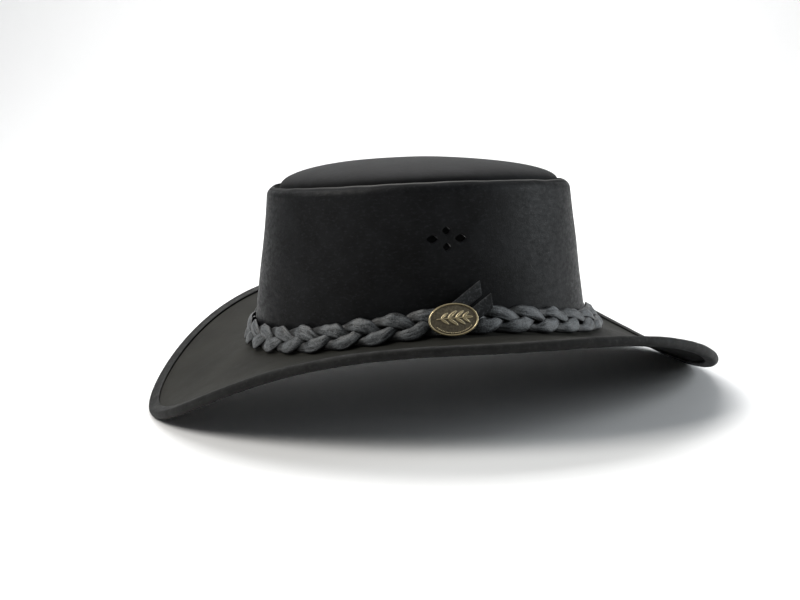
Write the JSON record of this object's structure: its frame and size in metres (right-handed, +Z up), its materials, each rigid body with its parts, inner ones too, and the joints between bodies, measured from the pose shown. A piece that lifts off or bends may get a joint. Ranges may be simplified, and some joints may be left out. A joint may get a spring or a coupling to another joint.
{
  "type": "bush hat",
  "caption": "Black moulded leather bush hat: domed crown with vents, saddle-shaped bound brim, plaited leather band and an oval brass badge.",
  "frame": {"origin": "centre of the footprint, on the ground that the brim's front and back edges rest on", "axes": "+X towards the back of the hat, -X towards its front, +Z up, -Y the wearer's left, where the badge is"},
  "size_m": [0.3516, 0.3258, 0.1441],
  "materials": {
    "crown_leather": "smooth oiled black leather with fine grain, softly shiny on top",
    "brim_leather": "smooth oiled black leather with fine grain, a little warm in the light",
    "binding_leather": "thin black leather folded round a wired edge",
    "plait_leather": "soft slate black leather with a short nap and worn highlights",
    "badge_brass": "antique brass, dark in the hollows and polished on the rim"
  },
  "bodies": {
    "root": {"crown": "crown_leather", "brim": "brim_leather", "brim_binding": "binding_leather", "plait_strand_a": "plait_leather", "plait_strand_b": "plait_leather", "plait_strand_c": "plait_leather", "badge": "badge_brass", "strap_end_upper": "plait_leather", "strap_end_lower": "plait_leather"}
  },
  "joints": []
}
